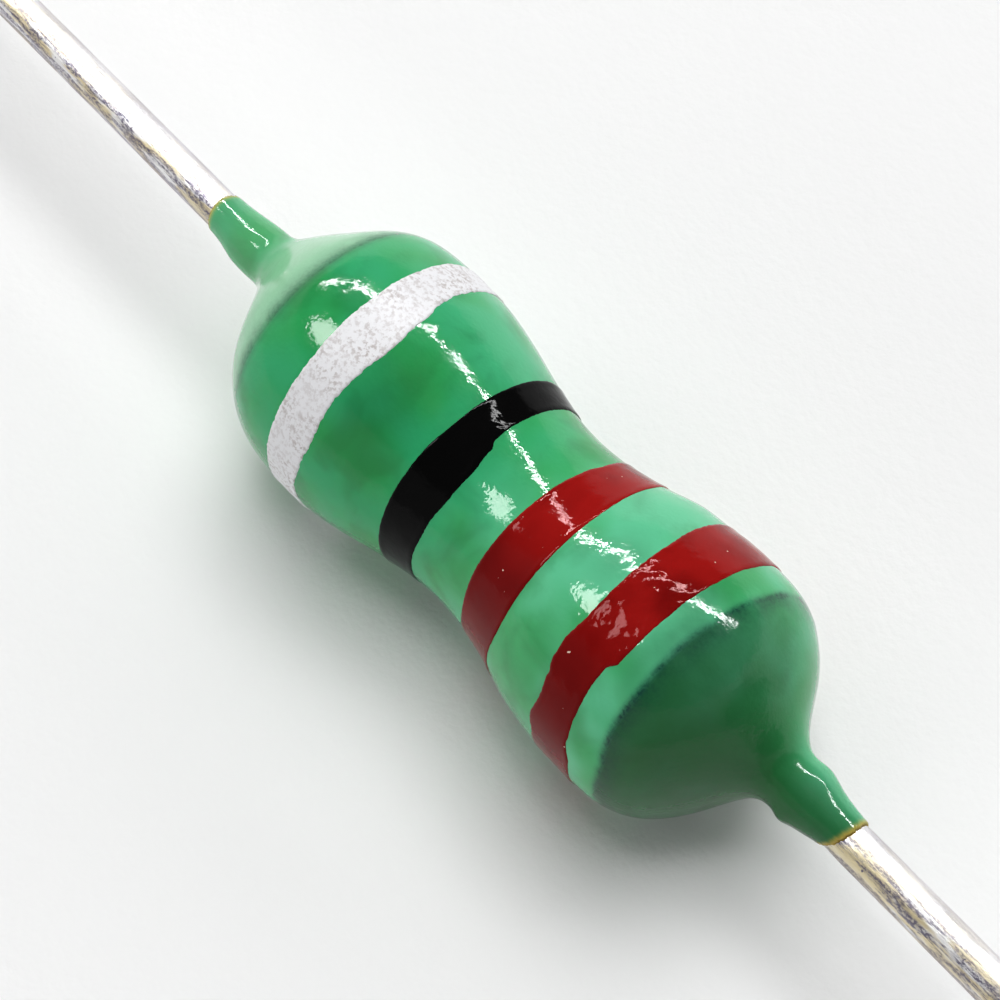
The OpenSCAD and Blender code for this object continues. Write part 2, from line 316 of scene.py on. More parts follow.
def mesh_from_grid(name, points, slot, replaced, loops=True, **layers):
    """Makes a piece from an array of rows x columns x 3. Columns close round the
    axis. Rows close on themselves if loops is set; otherwise the first and last
    rows are closed by a fan to their middle. Layers are values for each point."""
    rows, columns = points.shape[:2]
    index = np.arange(rows * columns).reshape(rows, columns)
    here = index if loops else index[:-1]
    there = np.roll(index, -1, axis=0) if loops else index[1:]
    corners = points.reshape(-1, 3)
    quads = np.stack([here, np.roll(here, -1, axis=1), np.roll(there, -1, axis=1), there], axis=-1)
    faces = quads.reshape(-1, 4).tolist()
    if not loops:
        first, last = len(corners), len(corners) + 1
        corners = np.vstack([corners, points[0].mean(axis=0), points[-1].mean(axis=0)])
        ring = np.arange(columns)
        start = np.stack([np.full(columns, first), np.roll(ring, -1), ring], axis=-1)
        end = np.stack([np.full(columns, last), index[-1], np.roll(index[-1], -1)], axis=-1)
        faces += start.tolist() + end.tolist()
    mesh = bpy.data.meshes.new(name)
    mesh.from_pydata(corners, [], faces)
    mesh.validate()
    mesh.shade_smooth()
    for layer, values in layers.items():
        padded = np.zeros(len(corners), np.float32)
        padded[: values.size] = values.ravel()
        mesh.attributes.new(layer, "FLOAT", "POINT").data.foreach_set("value", padded)
    piece = bpy.data.objects.new(name, mesh)
    bpy.context.scene.collection.objects.link(piece)
    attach(piece, "root")
    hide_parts(replaced)
    print(name, "has", len(mesh.polygons), "faces")
    return piece


def is_inside_out(piece):
    """True if the mesh's signed volume is negative: the sum over its triangles of
    the box product of the corners, divided by six."""
    mesh = piece.data
    mesh.calc_loop_triangles()
    corners = np.empty(len(mesh.vertices) * 3, np.float32)
    mesh.vertices.foreach_get("co", corners)
    corners = corners.reshape(-1, 3).astype(float)
    triangles = np.empty(len(mesh.loop_triangles) * 3, np.int32)
    mesh.loop_triangles.foreach_get("vertices", triangles)
    a, b, c = corners[triangles.reshape(-1, 3)].transpose(1, 0, 2)
    return (a * np.cross(b, c)).sum() < 0


def outwards(piece):
    """Turns the faces round if they look inwards."""
    if is_inside_out(piece):
        piece.data.flip_normals()
    return piece


# %% [markdown]
# ## The epoxy skin
#
# The rows run along the outside from one end to the other, and back along the
# inside over the solder, the core's faces and rim, and the winding. They lie
# closer together along x on the domes, which are steep: an even share of the
# outline's own length does that. The skin doesn't end where the solid
# does: it falls short by an amount that a few angles give and a fine wave roughens.

# %% Ragged ends
# How far the skin's ends fall short of the solid's, round the axis: angle, shortfall in mm
NEAR_SHORT = [(-180, 0.14), (-120, 0.42), (-95, 0.35), (-78, 0.27), (-55, 0.19),
              (-30, 0.14), (0, 0.11), (60, 0.12), (120, 0.1)]
FAR_SHORT = [(-180, 0.02), (-90, 0.05), (0, 0.0), (90, 0.04)]
RAGGED = 0.018 * MM
RAGGED_LONG = 1.2 * MM


def round_table(rows, angle):
    """Values given at a few angles in degrees, eased between them round the circle."""
    at, value = np.array(sorted(rows)).T
    at = np.append(at, at[0] + 360)
    value = np.append(value, value[0])
    degrees = (np.degrees(angle) - at[0]) % 360 + at[0]
    place = np.clip(np.searchsorted(at, degrees, side="right") - 1, 0, len(at) - 2)
    along = (degrees - at[place]) / (at[place + 1] - at[place])
    return value[place] + (value[place + 1] - value[place]) * ease(along)


def end_shortfall(angle, rows, seed):
    """How much sooner the skin ends than the solid at each angle, in metres."""
    wave = swell(np.zeros_like(angle), 3 * angle, seed, RAGGED_LONG)
    return round_table(rows, angle) * MM + RAGGED * wave


# %% The skin's two walls
SKIN_ROWS = 420
SKIN_COLUMNS = 200
NECK_STARTS = 5.9 * MM
END_ROUND = 0.05 * MM
INNER_GAP = 0.004 * MM
FLANGE_T = 1.0 * MM
# The inner wall lets go of the wire this far from the coat's end, and the solder's
# full radius reaches this far from the core's face
WIRE_HELD = 0.9 * MM
SOLDER_FULL = 0.6 * MM


def along_skin(rows):
    """x of each row, from the far end to the near end: even steps of the outline's
    own length."""
    length = np.concatenate([[0], np.cumsum(np.hypot(np.diff(coat_x), np.diff(coat_outline)))])
    return np.interp(np.linspace(0, length[-1], rows), length, coat_x)


def skin_outside(rows, columns):
    """The outer wall. Near each end, x is drawn in by the shortfall, and the
    radius falls to a hair below the wire's over a quarter ellipse."""
    angle = np.linspace(0, 2 * np.pi, columns, endpoint=False)[None, :]
    x = along_skin(rows)[:, None]
    short = np.where(x > 0, end_shortfall(angle, NEAR_SHORT, 5), end_shortfall(angle, FAR_SHORT, 6))
    drawn = x - np.sign(x) * short * ease((np.abs(x) - NECK_STARTS) / (COAT_END - NECK_STARTS))
    left = np.clip((COAT_END - np.abs(x)) / END_ROUND, 0, 1)
    fullness = np.sqrt(1 - (1 - left) ** 2)
    points = skin_point(drawn, angle)
    tip = (LEAD_R - INNER_GAP) / skin_radius(drawn, angle)
    points[..., 1:] *= (tip + (1 - tip) * fullness)[..., None]
    return points, drawn, angle


def skin_inside(columns):
    """The inner wall, from the near end back to the far end: a few rings that
    touch the wire and are just clear of the solder, the core and the winding."""
    solder_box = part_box("digit_solder")[1]
    wound_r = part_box("copper_winding")[1].z
    half = [
        (COAT_END - WIRE_HELD, LEAD_R - INNER_GAP),
        (solder_box.x, LEAD_R),
        (FACE_X + SOLDER_FULL, solder_box.z + INNER_GAP),
        (FACE_X + INNER_GAP, solder_box.z + INNER_GAP),
        (FACE_X + INNER_GAP, CORE_R + INNER_GAP),
        (FACE_X - FLANGE_T, CORE_R + INNER_GAP),
        (FACE_X - FLANGE_T - INNER_GAP, wound_r + INNER_GAP),
    ]
    rings = np.array(half + [(-x, r) for x, r in reversed(half)])
    angle = np.linspace(0, 2 * np.pi, columns, endpoint=False)[None, :]
    x, radius = rings[:, :1], rings[:, 1:]
    return np.stack(np.broadcast_arrays(x, radius * np.sin(angle), radius * np.cos(angle)), axis=-1)


outside, skin_x, skin_angle = skin_outside(SKIN_ROWS, SKIN_COLUMNS)
inside = skin_inside(SKIN_COLUMNS)
print("the skin's walls have", outside.shape[:2], "and", inside.shape[:2], "points")

# %% [markdown]
# ## What the finish reads from the skin
#
# The colour of a dip follows its form, and a noise can't know that form. So six
# layers go with the points, each a share from 0 to 1: the rims, where the coat is
# thin over the core's edges, with a soft edge of painted shade towards the cone; the
# fringe, where it crept out thin along the wire; the far cone beyond its rim, paler
# with painted light, and the near cone beyond its rim, darker with painted shade; the
# near half, where the green is paler, with painted light along the side that faces
# the lamps; and a few darker patches of painted shade.

# %% Layers of the skin
FAR_RIM = 3.84 * MM
# Where the coat turns over the near rim of the core, round the axis: angle, x in mm
NEAR_RIM = [(-108, 3.93), (-77, 3.94), (-50, 3.83), (-10, 3.8),
            (10, 3.84), (40, 3.92), (65, 4.0), (160, 3.95)]
# The fine line is the thin coat over the ferrite's rim; the soft edge onto the cone is painted shade
FINE_LINE, SOFT_EDGE = 0.06 * MM, 0.24 * MM
FAR_LINE_SHARE, SOFT_EDGE_SHARE = 0.3, 0.65
FRINGE_LONG = 0.16 * MM
# Start and length of a step, in mm
NEAR_CONE_GROWS = (-0.04, 0.09)
# The far cone is painted paler as light, where it faces the lamps
FAR_CONE_GROWS = (3.8, 0.25)
FAR_CONE_FADES, FAR_CONE_FADED = (4.9, 0.7), 0.75
NEAR_HALF_GROWS = (-0.6, 2.2)
# Each row: x, angle, half-width along x, half-width in degrees, share
# Painted light: the side of the near cone that faces the lamps, left out of its painted shade
PAINTED_LIT_CONE_SIDE = [(5.2, 64, 2.8, 52, 1.0)]
# Painted light: paler green along the side that faces the lamps, from the near half to the far end
PAINTED_LIT_SIDE = [(-2.0, 64, 9.0, 44, 0.75)]
# Painted shade: a few darker patches of the green
PAINTED_SHADE_PATCHES = [(-1.7, -30, 0.6, 24, 0.5), (3.62, -8, 0.22, 25, 0.45),
         (2.3, -4, 0.3, 13, 0.3), (3.45, 20, 0.3, 20, 0.2)]


def skin_layers(x, angle, to_end):
    """The layers by name. The rim is a fine dark line with a softer edge of painted
    shade towards the cone. The near cone's painted shade leaves out the side that
    faces the lamps, and the near half's pale green reaches along that side to the
    far end as painted light."""
    near = x > 0
    from_rim = np.where(near, x - round_table(NEAR_RIM, angle) * MM, -x - FAR_RIM)
    fine_line = np.exp(-((from_rim / FINE_LINE) ** 2)) * np.where(near, 1.0, FAR_LINE_SHARE)
    # The soft edge onto the cone is painted shade
    soft_edge = np.exp(-((from_rim / SOFT_EDGE) ** 2)) * np.where(from_rim > 0, SOFT_EDGE_SHARE, 0)
    far_faded = 1 - FAR_CONE_FADED * ramp(-x, *FAR_CONE_FADES)
    return {
        "rim": np.maximum(fine_line, soft_edge),
        "fringe": ease(1 - to_end / FRINGE_LONG),
        "far_cone": ramp(-x, *FAR_CONE_GROWS) * far_faded,
        "near_cone": ramp(from_rim, *NEAR_CONE_GROWS) * near * (1 - bumps(PAINTED_LIT_CONE_SIDE, x, angle)),
        "near_half_and_painted_light": np.maximum(ramp(x, *NEAR_HALF_GROWS), bumps(PAINTED_LIT_SIDE, x, angle)),
        "painted_shade_patches": bumps(PAINTED_SHADE_PATCHES, x, angle),
    }


# %% Epoxy skin
to_end = np.broadcast_to(COAT_END - np.abs(along_skin(SKIN_ROWS))[:, None], skin_x.shape)
inner_zeros = np.zeros(inside.shape[:2])
layers = {
    name: np.vstack([values, inner_zeros])
    for name, values in skin_layers(skin_x, skin_angle, to_end).items()
}
epoxy_skin = outwards(
    mesh_from_grid("epoxy_skin", np.vstack([outside, inside]), "green_epoxy", "epoxy_coat", **layers)
)

# %% [markdown]
# ## The painted rings
#
# Each ring is a film of paint, rolled on while the part turns. Its edges wander,
# and they step to one side where the roller lifts off and the stroke's end meets
# its start. So each edge is the solid's edge plus a shift that a few angles give,
# plus a fine waviness. The film is thickest inside its edges, where paint draws
# back and beads, and it sinks a hair into the skin underneath. One layer goes with
# the points: the side away from the light, from just past the top round by -Y,
# where the red is painted darker as shade.

# %% Painted rings
RING_COLUMNS = 720
RING_ROWS = 22
PAINT_T = 0.019 * MM
PAINT_SUNK = 0.02 * MM
EDGE_WAVE_LONG = 0.8 * MM
FILM_EVEN, FILM_UNEVEN, FILM_WAVE_LONG = 0.85, 0.15, 1.4 * MM
EDGE_RAMP = 0.032 * MM
EDGE_BEAD = 0.3
BEAD_INSET, BEAD_WIDE = 0.055 * MM, 0.03 * MM
# The painted shade starts this many degrees past straight up, and grows over this many
SHADE_FROM, SHADE_OVER = 8, 40
# For the -x edge and then the +x edge: angle in degrees, shift of the edge in mm
SILVER_EDGES = (
    [(170, 0), (100, -0.03), (45, -0.06), (20, -0.02), (-8, 0.02), (-40, 0.05), (-95, 0.02),
     (-140, 0)],
    [(150, -0.02), (60, -0.17), (30, -0.13), (19, -0.07), (9, 0.03), (-12, 0.11), (-24, 0.05),
     (-40, 0.01), (-62, 0.04), (-76, -0.02), (-92, -0.1), (-150, -0.03)],
)
BLACK_EDGES = (
    [(170, 0.01), (30, 0.03), (-12, 0.03), (-30, 0.0), (-120, 0.0)],
    [(160, -0.05), (60, -0.12), (8, -0.12), (-2, -0.1), (-7, -0.02), (-22, 0.045), (-38, 0.04),
     (-58, -0.01), (-90, -0.07), (-140, -0.06)],
)
RED_EDGES = (
    [(160, 0.02), (60, 0.02), (32, 0.075), (22, 0.04), (0, 0.0), (-30, -0.025), (-50, -0.025),
     (-84, 0.035), (-140, 0)],
    [(150, -0.02), (60, -0.12), (40, -0.06), (0, -0.025), (-30, -0.015), (-65, 0.005), (-86, -0.045),
     (-140, 0)],
)
FIRST_RED_EDGES = (
    [(160, 0), (70, -0.07), (32, -0.06), (12, -0.02), (-30, 0.01), (-41, -0.03), (-50, -0.01),
     (-57, 0.06), (-68, 0.11), (-81, 0.06), (-92, 0.13), (-140, 0.05)],
    [(160, 0), (60, 0.03), (45, 0.05), (25, 0.03), (0, 0.01), (-33, 0.0), (-38, -0.1), (-48, -0.1),
     (-62, -0.06), (-75, -0.02), (-88, 0.1), (-110, 0.1), (-150, 0)],
)


def painted_ring(name, node, slot, edges, wave, seed):
    """A film on the skin between two wandering edges, with a fine wave of a given
    height in mm. Across the film, the lift is a rounded box profile with a bead
    inside each edge; the rows then come back under it, a little below the skin."""
    low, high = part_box(node)
    angle = np.linspace(-np.pi, np.pi, RING_COLUMNS, endpoint=False)[None, :]
    start, stop = (
        edge + (round_table(shifts, angle) + wave * swell(0, angle * 4, seed + k, EDGE_WAVE_LONG)) * MM
        for k, (edge, shifts) in enumerate(zip((low.x, high.x), edges))
    )
    across = ease(np.linspace(0, 1, RING_ROWS))[:, None]
    inset = np.minimum(across, 1 - across) * (stop - start)
    body = np.sqrt(1 - (1 - np.clip(inset / EDGE_RAMP, 0, 1)) ** 2)
    bead = 1 + EDGE_BEAD * np.exp(-(((inset - BEAD_INSET) / BEAD_WIDE) ** 2))
    film = FILM_EVEN + FILM_UNEVEN * swell(across * (stop - start), angle, seed + 2, FILM_WAVE_LONG)
    lift = PAINT_T * body * bead * film / (1 + EDGE_BEAD)
    x = start + (stop - start) * across
    top = skin_point(x, angle, lift)
    under = skin_point(x[::-1], angle, -PAINT_SUNK)[[0, RING_ROWS // 2, -1]]
    points = np.vstack([top, under])
    # Painted shade: the side away from the light, from just past the top round by -Y
    low_side = np.broadcast_to(ease((np.degrees(-angle) - SHADE_FROM) / SHADE_OVER), points.shape[:2])
    return outwards(mesh_from_grid(name, points, slot, node, low_side=low_side))


silver_ring = painted_ring("silver_ring", "tolerance_band", "silver_paint", SILVER_EDGES, 0.013, 21)
black_ring = painted_ring("black_ring", "multiplier_band", "black_paint", BLACK_EDGES, 0.006, 31)
red_ring = painted_ring("red_ring", "second_digit_band", "red_paint", RED_EDGES, 0.005, 41)
first_red_ring = painted_ring(
    "first_red_ring", "first_digit_band", "red_paint", FIRST_RED_EDGES, 0.009, 51)

# %% [markdown]
# ## The wires
#
# A tinned wire is drawn through a die, which scores it lengthwise, and then
# dipped, which leaves it slightly out of round. The scores make the streaks in its
# reflections, so they are part of the shape: the radius changes quickly round the
# wire and slowly along it. One layer goes with the points: the side that is stained
# and also painted darker as shade.

# %% Wires
WIRE_ROWS = 260
WIRE_COLUMNS = 180
SCORES = 40
SCORE_H = 0.00055 * MM
SCORE_LONG = (3, 14)
SCORE_TURNS = (5, 60)
OUT_OF_ROUND = 0.002 * MM
OUT_OF_ROUND_LONG = 5 * MM
MOST_PROUD = 0.004 * MM
# Start and length of the step from the smooth wire in the coat to the scored one, in mm
SCORED_FROM = (5.5, 1.0)
# The side that is stained and painted darker as shade: angle and half-width in degrees
STAIN_AND_SHADE_SIDE, STAIN_AND_SHADE_WIDE = -46, 56


def wire(name, node, seed):
    """The lead's own outline, with lengthwise scores and a slow waviness. A layer
    says how much stain and painted shade each point gets, which is most on one side."""
    x, radius = outline_of(node)
    near, far = sorted((x[0], x[-1]), key=abs)
    fine = near + (far - near) * np.linspace(0, 1, WIRE_ROWS)
    rows = np.unique(np.concatenate([fine, x]))[:, None]
    angle = np.linspace(0, 2 * np.pi, WIRE_COLUMNS, endpoint=False)[None, :]
    rng = np.random.default_rng(seed)
    score = np.zeros((len(rows), WIRE_COLUMNS))
    for _ in range(SCORES):
        turns = rng.integers(*SCORE_TURNS)
        length = rng.uniform(*SCORE_LONG) * MM
        phase = rng.uniform(0, 2 * np.pi)
        score += np.cos(turns * angle + 2 * np.pi * rows / length + phase) / np.sqrt(turns)
    slow = swell(rows, angle, seed + 1, OUT_OF_ROUND_LONG, 10)
    bare = np.interp(rows, x, radius)
    marking = (SCORE_H * score + OUT_OF_ROUND * slow) * ramp(np.abs(rows), *SCORED_FROM)
    full = bare + np.minimum(marking, MOST_PROUD)
    points = np.stack(np.broadcast_arrays(rows, full * np.sin(angle), full * np.cos(angle)), axis=-1)
    # Stain and painted shade, most on one side
    scuffed = np.broadcast_to(bump(0, angle, 0, STAIN_AND_SHADE_SIDE, 1, STAIN_AND_SHADE_WIDE), full.shape)
    return outwards(mesh_from_grid(name, points, "tinned_copper", node, loops=False, scuffed=scuffed))


digit_wire = wire("digit_wire", "digit_lead", 61)
tolerance_wire = wire("tolerance_wire", "tolerance_lead", 71)

# %% [markdown]
# ## Shader maths in Python
#
# A material is a graph of nodes, and a graph built by hand is long to read. The
# class below wraps one output of a node. Adding or multiplying wrapped values
# makes the Math node that does it, so a finish reads as a formula. All of it goes
# through one method, which makes any node from its type, its settings and the
# values of its sockets.

# %% Node helper


class Value:
    """The output of a node: a number, a colour or a direction on its way through the
    tree. The operators are for numbers."""

    def __init__(self, recipe, socket):
        self.recipe, self.socket = recipe, socket

    def math(self, operation, first, second):
        return self.recipe.node("ShaderNodeMath", {"operation": operation}, {0: first, 1: second})

    def __add__(self, other):
        return self.math("ADD", self, other)

    def __sub__(self, other):
        return self.math("SUBTRACT", self, other)

    def __rsub__(self, other):
        return self.math("SUBTRACT", other, self)

    def __mul__(self, other):
        return self.math("MULTIPLY", self, other)

    def __pow__(self, other):
        return self.math("POWER", self, other)

    def __gt__(self, other):
        return self.math("GREATER_THAN", self, other)

    __radd__, __rmul__ = __add__, __mul__

    def between(self, low, high, to_low=0.0, to_high=1.0):
        """Eased from to_low to to_high as the value goes from low to high."""
        sockets = {"Value": self, "From Min": low, "From Max": high,
                   "To Min": to_low, "To Max": to_high}
        return self.recipe.node("ShaderNodeMapRange", {"interpolation_type": "SMOOTHSTEP"}, sockets)


class Recipe:
    """A node tree under construction, for a material or for the world."""

    def __init__(self, owner):
        owner.use_nodes = True
        self.tree = owner.node_tree
        self.tree.nodes.clear()

    def node(self, kind, settings=None, sockets=None, output=0):
        """Any node: its settings first, then its sockets' values or links."""
        made = self.tree.nodes.new(kind)
        for name, value in (settings or {}).items():
            setattr(made, name, value)
        for name, value in (sockets or {}).items():
            socket = made.inputs[name]
            if isinstance(value, Value):
                self.tree.links.new(socket, value.socket)
            elif socket.type == "RGBA":
                socket.default_value = (*value, 1)
            else:
                socket.default_value = value
        return Value(self, made.outputs[output]) if made.outputs else None

    def spot(self):
        """Object coordinates, which for these pieces are metres in the frame."""
        return self.node("ShaderNodeTexCoord", output="Object")

    def stretched(self, along):
        """Object coordinates scaled along x only: a share below 1 draws a pattern out."""
        return self.node("ShaderNodeMapping", {}, {"Vector": self.spot(), "Scale": (along, 1.0, 1.0)})

    def noise(self, size, detail=2.0, roughness=0.5, place=None, twist=0.0):
        """Cloudy noise from 0 to 1, with features of about this size in metres."""
        sockets = {"Vector": place or self.spot(), "Scale": 1 / size, "Detail": detail,
                   "Roughness": roughness, "Distortion": twist}
        return self.node("ShaderNodeTexNoise", {}, sockets)

    def measure(self, operation, *vectors):
        """A number worked out from vectors, such as a length or a dot product."""
        sockets = dict(enumerate(vectors))
        return self.node("ShaderNodeVectorMath", {"operation": operation}, sockets, output="Value")

    def layer(self, name):
        """A value that the mesh carries for each point."""
        return self.node("ShaderNodeAttribute", {"attribute_name": name}, output="Fac")

    def mix(self, share, first, second):
        """A colour between two colours."""
        sockets = {0: share, 6: first, 7: second}
        return self.node("ShaderNodeMix", {"data_type": "RGBA"}, sockets, output=2)

    def raised(self, height, metres, under=None):
        """A normal bent as if the surface rose by this many metres where height is 1."""
        sockets = {"Height": height, "Distance": metres, "Strength": 1.0}
        if under:
            sockets["Normal"] = under
        return self.node("ShaderNodeBump", {}, sockets)

    def surface(self, veil=None, **sockets):
        """The Principled shader and the output that it goes to. A veil, from 0 to 1,
        covers it with an even white glow."""
        named = {name.replace("_", " "): value for name, value in sockets.items()}
        shader = self.node("ShaderNodeBsdfPrincipled", {}, named)
        if veil is not None:
            white = self.node("ShaderNodeEmission", {}, {"Color": (1.0, 1.0, 1.0), "Strength": 1.0})
            shader = self.node("ShaderNodeMixShader", {}, {0: veil, 1: shader, 2: white})
        self.node("ShaderNodeOutputMaterial", {}, {"Surface": shader})


def finish(name, pieces, make):
    """Runs a recipe for one material and gives it to its pieces."""
    material = bpy.data.materials.new(name)
    make(Recipe(material))
    for piece in pieces:
        piece.data.materials.clear()
        piece.data.materials.append(material)
    print("finish", name, "has", len(material.node_tree.nodes), "nodes")


# %% [markdown]
# ## Green epoxy
#
# The dip is a pigmented epoxy. Its colour drifts between a blue green and a
# yellow green, because the pigment settles unevenly. It darkens along the core's
# rims, where the skin is thin over black ferrite, and turns amber at the ends,
# where it is only resin. Light and shade are painted into it as well: painted shade
# darkens the near cone, a soft edge from each rim onto the cone and a few patches,
# and painted light makes the far cone and the side that faces the lamps paler.
# An image could show all this, but the layers that the skin carries place it
# exactly, and noise does the rest. The gloss is sharp, and a fine orange peel
# breaks its reflections up.

# %% Green epoxy
MINT = (0.112, 0.54, 0.29)
BLUE_GREEN = (0.026, 0.37, 0.14)
YELLOW_GREEN = (0.022, 0.32, 0.06)
DEEP_GREEN = (0.007, 0.075, 0.013)
PALE_GREEN = (0.3, 0.62, 0.38)
RIM_DARK = (0.003, 0.028, 0.028)
AMBER = (0.62, 0.42, 0.07)


def green_epoxy(recipe):
    drift = recipe.noise(1.6 * MM, detail=2).between(0.38, 0.66)
    clouds = recipe.noise(0.9 * MM, detail=3, twist=0.6).between(0.42, 0.72)
    # The near half is paler; along the side that faces the lamps the pale green is painted light
    colour = recipe.mix(recipe.layer("near_half_and_painted_light"), BLUE_GREEN, MINT)
    colour = recipe.mix(drift * 0.7, colour, YELLOW_GREEN)
    colour = recipe.mix(clouds * 0.3, colour, DEEP_GREEN)
    # Painted shade: a few darker patches
    colour = recipe.mix(recipe.layer("painted_shade_patches") * 0.8, colour, DEEP_GREEN)
    # Painted shade: the near cone turned darker where it faces away from the light
    colour = recipe.mix(recipe.layer("near_cone") * 0.88, colour, DEEP_GREEN)
    # Painted light: the far cone paler
    colour = recipe.mix(recipe.layer("far_cone") * 0.85, colour, PALE_GREEN)
    # The rim: a fine dark line where the coat is thin over ferrite, with a soft edge of painted shade
    # onto the cone
    smudge = recipe.noise(0.5 * MM, detail=2).between(0.3, 0.6, 0.45, 1.0)
    specks = recipe.noise(0.05 * MM, detail=2).between(0.4, 0.65, 0.75, 1.0)
    colour = recipe.mix(recipe.layer("rim") * smudge * specks, colour, RIM_DARK)
    colour = recipe.mix(recipe.layer("fringe") ** 2.0 * 0.9, colour, AMBER)
    peel = recipe.noise(0.07 * MM, detail=1)
    ripple = recipe.noise(0.22 * MM, detail=1)
    normal = recipe.raised(peel, 0.003 * MM, recipe.raised(ripple, 0.003 * MM))
    wear = recipe.noise(0.3 * MM, detail=3).between(0.35, 0.7, 0.06, 0.12)
    roughness = wear + recipe.layer("near_cone") * 0.05
    recipe.surface(Base_Color=colour, Roughness=roughness, Normal=normal, Specular_IOR_Level=0.26)


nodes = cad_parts
finish("green_epoxy", [epoxy_skin, nodes["epoxy_coat"]], green_epoxy)

# %% [markdown]
# ## Paints
#
# The red and black rings are glossy ink, and a little dust stuck to the red; its
# pale specks are also painted glints. The silver one is ink full of flakes that lie
# at all angles, so it scatters light like a pale rough paint, hardly like metal, and
# is speckled with duller flakes.

# %% Paints
RED_INK = (0.3, 0.007, 0.006)
RED_INK_DEEP = (0.13, 0.002, 0.002)
RED_SHINE = (1.0, 0.55, 0.55)
BLACK_INK = (0.002, 0.002, 0.002)
SILVER_INK = (0.79, 0.79, 0.81)
FLAKE_DULL = (0.4, 0.35, 0.34)
# Pale specks: dust, and painted glints
DUST_AND_GLINTS = (0.8, 0.62, 0.5)


def inky_normal(recipe, fine):
    """The normal of wet ink that has set: fine grain over a longer ripple."""
    ripple = recipe.raised(recipe.noise(0.2 * MM), 0.004 * MM)
    return recipe.raised(recipe.noise(0.05 * MM, detail=3), fine, ripple)


def red_ink(recipe):
    tone = recipe.noise(1.1 * MM, detail=2).between(0.35, 0.65, 0, 0.8)
    colour = recipe.mix(tone, RED_INK, RED_INK_DEEP)
    # Painted shade: the red darker on the side away from the light
    colour = recipe.mix(recipe.layer("low_side") * 0.75, colour, RED_INK_DEEP)
    # Dust and painted glints: sparse pale specks
    dust_and_glints = recipe.noise(0.075 * MM, detail=1) > 0.79
    colour = recipe.mix(dust_and_glints, colour, DUST_AND_GLINTS)
    recipe.surface(Base_Color=colour, Roughness=0.05, Normal=inky_normal(recipe, 0.0012 * MM),
                   Specular_IOR_Level=0.1, Specular_Tint=RED_SHINE)


def black_ink(recipe):
    roughness = recipe.noise(0.6 * MM).between(0.3, 0.7, 0.06, 0.12)
    recipe.surface(Base_Color=BLACK_INK, Roughness=roughness, Normal=inky_normal(recipe, 0.001 * MM),
                   Specular_IOR_Level=0.055)


def silver_ink(recipe):
    flakes = recipe.noise(0.07 * MM, detail=3, roughness=0.65)
    patches = recipe.noise(0.45 * MM, detail=2).between(0.35, 0.7, 0.3, 0.85)
    colour = recipe.mix(flakes.between(0.45, 0.64) * patches, SILVER_INK, FLAKE_DULL)
    recipe.surface(Base_Color=colour, Metallic=0.05, Roughness=0.5,
                   Normal=recipe.raised(flakes, 0.004 * MM), Specular_IOR_Level=0.1)


red_solids = [nodes["second_digit_band"], nodes["first_digit_band"]]
finish("red_ink", [red_ring, first_red_ring, *red_solids], red_ink)
finish("black_ink", [black_ring, nodes["multiplier_band"]], black_ink)
finish("silver_ink", [silver_ring, nodes["tolerance_band"]], silver_ink)

# %% [markdown]
# ## Tinned copper
#
# Tin over copper is a bright metal with a soft blur from handling. On one side the
# tin is stained tan and its scores are dark, as stains and as painted shade. Noise
# that is stretched along the wire continues the mesh's scores at a scale that the
# mesh can't hold, a finer grain breaks them into specks, and a few pits are dark.

# %% Tinned copper
TIN = (0.9, 0.89, 0.88)
TAN = (0.76, 0.66, 0.42)
SCORE_DARK = (0.17, 0.155, 0.215)
EDGE_LILAC = (0.55, 0.52, 0.62)


def tinned(recipe):
    streaks = recipe.noise(0.03 * MM, detail=3, place=recipe.stretched(0.08))
    stains = recipe.noise(0.16 * MM, detail=4, place=recipe.stretched(0.22)).between(0.4, 0.56)
    scores = recipe.noise(0.07 * MM, detail=4, roughness=0.6, place=recipe.stretched(0.12))
    scores = scores.between(0.42, 0.55)
    grain = recipe.noise(0.03 * MM, detail=3, roughness=0.65, place=recipe.stretched(0.5))
    grain = grain.between(0.4, 0.56)
    pits = recipe.noise(0.1 * MM, detail=2).between(0.7, 0.74)
    # Stains and painted shade: one side tan, with darker scores and pits
    scuffed = recipe.layer("scuffed")
    marking = 0.1 + 0.9 * scuffed
    colour = recipe.mix(stains * marking, TIN, TAN)
    colour = recipe.mix(scores * marking * (0.35 + 0.65 * grain) + pits * scuffed, colour, SCORE_DARK)
    blur = recipe.noise(0.2 * MM, detail=3, place=recipe.stretched(0.3))
    normal = recipe.raised(grain, -0.0015 * MM, recipe.raised(streaks, 0.0012 * MM))
    recipe.surface(Base_Color=colour, Metallic=1.0, Roughness=blur.between(0.3, 0.7, 0.3, 0.46),
                   Normal=normal, Specular_Tint=EDGE_LILAC)


wire_solids = [nodes["digit_lead"], nodes["tolerance_lead"]]
finish("tinned_copper", [digit_wire, tolerance_wire, *wire_solids], tinned)

# %% [markdown]
# ## What the skin hides
#
# The core, the winding, the glue and the solder are never seen from outside, but a
# part that is cut open or taken apart should still look right. They keep
# their solids and get simple finishes: two tones of one colour, in clouds of one
# size, which also raise a faint grain.

# %% Hidden pieces
HIDDEN_GRAIN = 0.001 * MM
